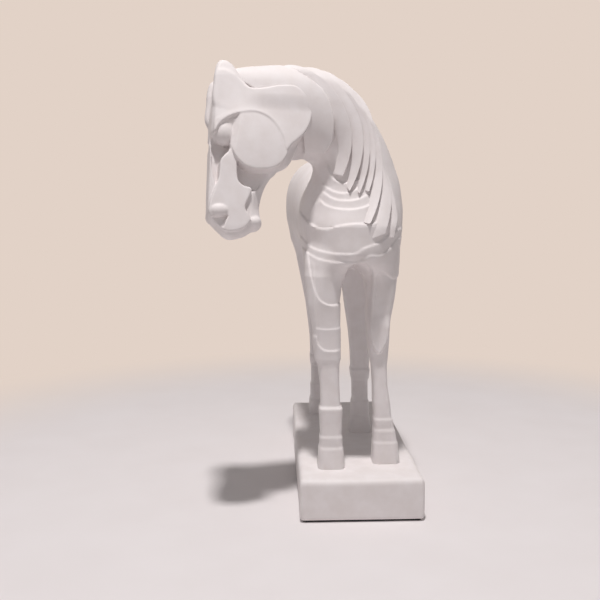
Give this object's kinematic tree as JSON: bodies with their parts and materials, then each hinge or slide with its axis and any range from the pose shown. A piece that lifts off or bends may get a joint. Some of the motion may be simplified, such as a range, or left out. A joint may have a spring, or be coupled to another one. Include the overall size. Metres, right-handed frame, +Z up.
{
  "type": "horse statuette",
  "caption": "White cast standing horse with a turned, lowered head, layered mane and stepped chest, fixed by its legs to a rectangular plinth.",
  "frame": {"origin": "centre of the footprint, on the surface that the plinth stands on", "axes": "+Z up, the horse looks along -Y, its left side is +X"},
  "size_m": [0.1722, 0.2579, 0.3622],
  "materials": {
    "cast_white": "matte chalk-white painted cast resin and plaster, softly rounded edges",
    "dark_sheet": "dark anti-slip foam sheet",
    "zinc_steel": "zinc-plated steel"
  },
  "bodies": {
    "root": {"plinth_block": "cast_white", "anti_slip_sheet": "dark_sheet", "leg_rods": "zinc_steel", "rod_washers": "zinc_steel", "rod_nuts": "zinc_steel", "foreleg_left": "cast_white", "foreleg_right": "cast_white", "hindleg_left": "cast_white", "hindleg_right": "cast_white", "leg_dowels": "zinc_steel", "torso_casting": "cast_white", "neck_casting": "cast_white", "neck_dowels": "zinc_steel", "head_casting": "cast_white", "head_dowel": "zinc_steel", "poll_strap": "cast_white", "mane_lock_1": "cast_white", "mane_lock_2": "cast_white", "mane_lock_3": "cast_white", "mane_lock_4": "cast_white", "mane_lock_5": "cast_white", "mane_lock_6": "cast_white", "mane_lock_7": "cast_white", "tail_casting": "cast_white", "tail_dowel": "zinc_steel"}
  },
  "joints": []
}
